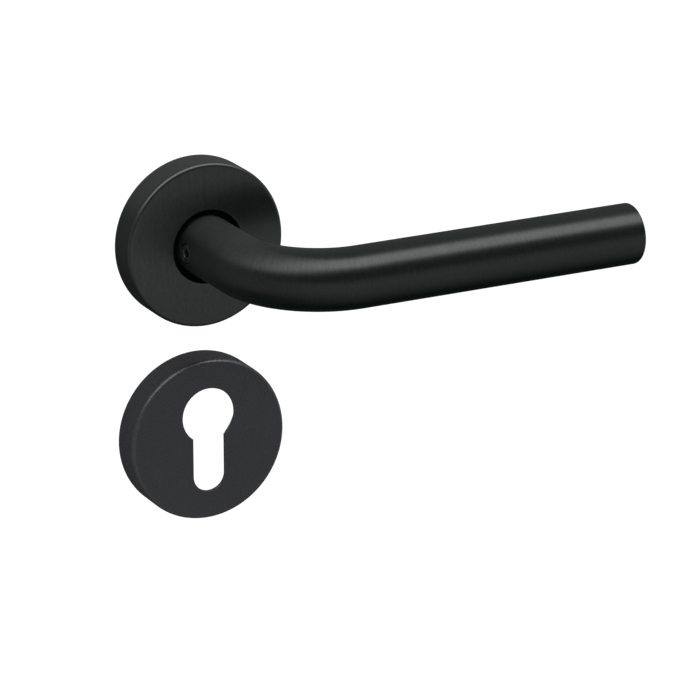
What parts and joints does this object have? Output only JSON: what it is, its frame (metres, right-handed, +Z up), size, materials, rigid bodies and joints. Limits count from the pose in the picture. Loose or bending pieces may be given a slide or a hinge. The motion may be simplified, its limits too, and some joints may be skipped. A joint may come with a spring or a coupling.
{
  "type": "door lever handle on rose with cylinder escutcheon",
  "caption": "Round-tube door lever on a round clip-on rose, with a matching round escutcheon cut out for a profile cylinder.",
  "frame": {"origin": "the middle of the spindle's free end, on the lever's turning axis; the door's face, where the rose and the escutcheon lie, is the plane y = -0.030", "axes": "+Z up; +Y into the door along the spindle, so the front faces -Y; +X along the lever's grip, away from the rose"},
  "size_m": [0.147, 0.0995, 0.115],
  "materials": {
    "black_satin_coating": "satin black coating over brushed steel",
    "black_powder_coating": "fine-textured black powder coating",
    "blackened_steel": "black oxide",
    "zinc_plated_steel": "bright zinc plating",
    "turned_steel": "turned",
    "spring_steel": "drawn wire, oiled",
    "black_nylon": "moulded, matte",
    "acetal_plastic": "moulded, natural white"
  },
  "bodies": {
    "door_side": {"rose_base_plate": "zinc_plated_steel", "rose_clip_ring": "black_nylon", "rose_lug_upper": "turned_steel", "rose_lug_lower": "turned_steel", "rose_screw_upper": "zinc_plated_steel", "rose_screw_lower": "zinc_plated_steel", "bearing_bush": "acetal_plastic", "return_spring": "spring_steel", "escutcheon_base_plate": "zinc_plated_steel", "escutcheon_clip_ring": "black_nylon", "escutcheon_lug_left": "turned_steel", "escutcheon_lug_right": "turned_steel", "escutcheon_screw_left": "zinc_plated_steel", "escutcheon_screw_right": "zinc_plated_steel"},
    "lever": {"lever_tube": "black_satin_coating", "lever_end_cap": "black_satin_coating", "neck_insert": "turned_steel", "grub_screw": "blackened_steel", "spindle": "zinc_plated_steel", "driver_ring": "blackened_steel", "thrust_washer": "turned_steel", "retaining_ring": "blackened_steel"},
    "rose_cover": {"rose_cover": "black_satin_coating"},
    "escutcheon_cover": {"escutcheon_cover": "black_powder_coating"}
  },
  "joints": [
    {"name": "lever_turn", "type": "hinge", "parent": "door_side", "child": "lever", "pos_m": [0, 0, 0], "axis": [0, 1, 0], "range_deg": [-45, 45], "stiffness_Nm_per_rad": 0.8, "deforming": ["return_spring"]},
    {"name": "rose_cover_slide", "type": "slide", "parent": "door_side", "child": "rose_cover", "axis": [0, -1, 0], "range_m": [0, 0.02]},
    {"name": "escutcheon_cover_slide", "type": "slide", "parent": "door_side", "child": "escutcheon_cover", "axis": [0, -1, 0], "range_m": [0, 0.015]}
  ]
}
